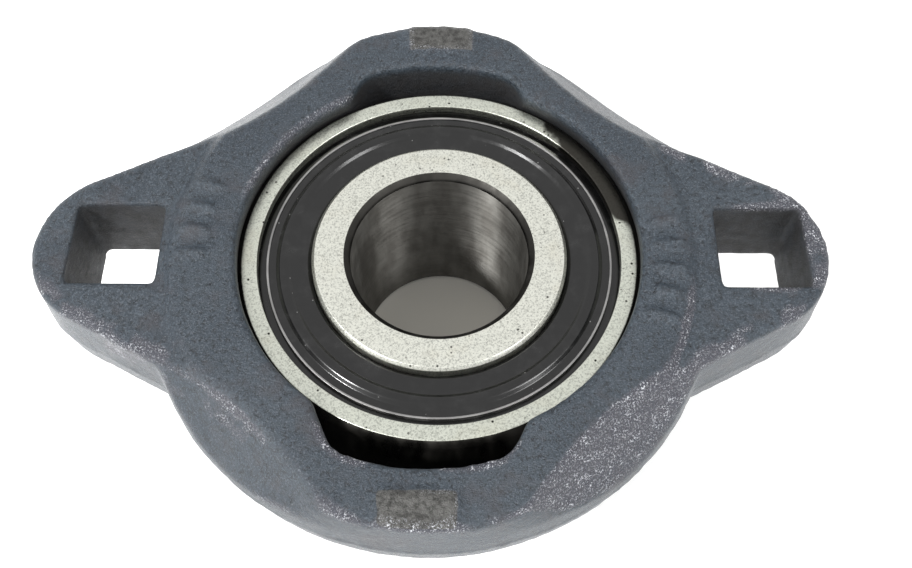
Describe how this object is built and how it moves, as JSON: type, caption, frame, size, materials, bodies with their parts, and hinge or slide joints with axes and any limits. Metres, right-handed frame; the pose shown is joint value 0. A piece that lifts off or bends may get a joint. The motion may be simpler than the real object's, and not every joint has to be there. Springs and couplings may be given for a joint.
{
  "type": "flange mount bearing",
  "caption": "Cast oval flange housing with square bolt holes in its ears, holding a self-aligning sealed ball bearing insert with a round bore and set screw locking.",
  "frame": {"origin": "centre of the spherical seat, on the bore axis", "axes": "+Z along the bore axis out of the mounting face, where the rings end flush; +X along the ears through the bolt holes"},
  "size_m": [0.0888, 0.064, 0.0279],
  "materials": {
    "cast_housing": "slate grey paint on rough sand-cast iron, worn to bare metal on the pads and edges",
    "outer_ring_steel": "fine ground bearing steel",
    "inner_ring_steel": "fine ground bearing steel with a polished bore",
    "ball_steel": "polished",
    "cage_steel": "pressed sheet",
    "seal_core_steel": "thin pressed sheet",
    "seal_rubber": "oily black moulded rubber",
    "screw_steel": "black oxide"
  },
  "bodies": {
    "housing": {"housing": "cast_housing"},
    "insert": {"outer_ring": "outer_ring_steel", "upper_seal_core": "seal_core_steel", "upper_seal_rubber": "seal_rubber", "lower_seal_core": "seal_core_steel", "lower_seal_rubber": "seal_rubber"},
    "inner_ring": {"inner_ring": "inner_ring_steel"},
    "cage": {"cage_upper": "cage_steel", "cage_lower": "cage_steel", "cage_rivets": "cage_steel"},
    "ball_1": {"ball_1": "ball_steel"},
    "ball_2": {"ball_2": "ball_steel"},
    "ball_3": {"ball_3": "ball_steel"},
    "ball_4": {"ball_4": "ball_steel"},
    "ball_5": {"ball_5": "ball_steel"},
    "ball_6": {"ball_6": "ball_steel"},
    "ball_7": {"ball_7": "ball_steel"},
    "ball_8": {"ball_8": "ball_steel"},
    "set_screw_1": {"set_screw_1": "screw_steel"},
    "set_screw_2": {"set_screw_2": "screw_steel"}
  },
  "joints": [
    {"name": "self_align_tilt", "type": "hinge", "parent": "housing", "child": "insert", "pos_m": [0, 0, 0], "axis": [1, 0, 0], "range_deg": [-3, 3]},
    {"name": "inner_spin", "type": "hinge", "parent": "insert", "child": "inner_ring", "pos_m": [0, 0, 0], "axis": [0, 0, 1], "continuous": true},
    {"name": "cage_spin", "type": "hinge", "parent": "insert", "child": "cage", "pos_m": [0, 0, 0], "axis": [0, 0, 1], "continuous": true},
    {"name": "ball_1_spin", "type": "hinge", "parent": "cage", "child": "ball_1", "pos_m": [0.01675, 0, 0], "axis": [0, 0, 1], "continuous": true},
    {"name": "ball_2_spin", "type": "hinge", "parent": "cage", "child": "ball_2", "pos_m": [0.01184, 0.01184, 0], "axis": [0, 0, 1], "continuous": true},
    {"name": "ball_3_spin", "type": "hinge", "parent": "cage", "child": "ball_3", "pos_m": [0, 0.01675, 0], "axis": [0, 0, 1], "continuous": true},
    {"name": "ball_4_spin", "type": "hinge", "parent": "cage", "child": "ball_4", "pos_m": [-0.01184, 0.01184, 0], "axis": [0, 0, 1], "continuous": true},
    {"name": "ball_5_spin", "type": "hinge", "parent": "cage", "child": "ball_5", "pos_m": [-0.01675, 0, 0], "axis": [0, 0, 1], "continuous": true},
    {"name": "ball_6_spin", "type": "hinge", "parent": "cage", "child": "ball_6", "pos_m": [-0.01184, -0.01184, 0], "axis": [0, 0, 1], "continuous": true},
    {"name": "ball_7_spin", "type": "hinge", "parent": "cage", "child": "ball_7", "pos_m": [0, -0.01675, 0], "axis": [0, 0, 1], "continuous": true},
    {"name": "ball_8_spin", "type": "hinge", "parent": "cage", "child": "ball_8", "pos_m": [0.01184, -0.01184, 0], "axis": [0, 0, 1], "continuous": true},
    {"name": "set_screw_1_travel", "type": "slide", "parent": "inner_ring", "child": "set_screw_1", "axis": [0.866, -0.5, 0], "range_m": [-0.001, 0.0025]},
    {"name": "set_screw_2_travel", "type": "slide", "parent": "inner_ring", "child": "set_screw_2", "axis": [-0.866, -0.5, 0], "range_m": [-0.001, 0.0025]}
  ],
  "couplings": [
    {"joint": "cage_spin", "follows": "inner_spin", "ratio": 0.38152},
    {"joint": "ball_1_spin", "follows": "inner_spin", "ratio": -1.9916},
    {"joint": "ball_2_spin", "follows": "inner_spin", "ratio": -1.9916},
    {"joint": "ball_3_spin", "follows": "inner_spin", "ratio": -1.9916},
    {"joint": "ball_4_spin", "follows": "inner_spin", "ratio": -1.9916},
    {"joint": "ball_5_spin", "follows": "inner_spin", "ratio": -1.9916},
    {"joint": "ball_6_spin", "follows": "inner_spin", "ratio": -1.9916},
    {"joint": "ball_7_spin", "follows": "inner_spin", "ratio": -1.9916},
    {"joint": "ball_8_spin", "follows": "inner_spin", "ratio": -1.9916}
  ]
}
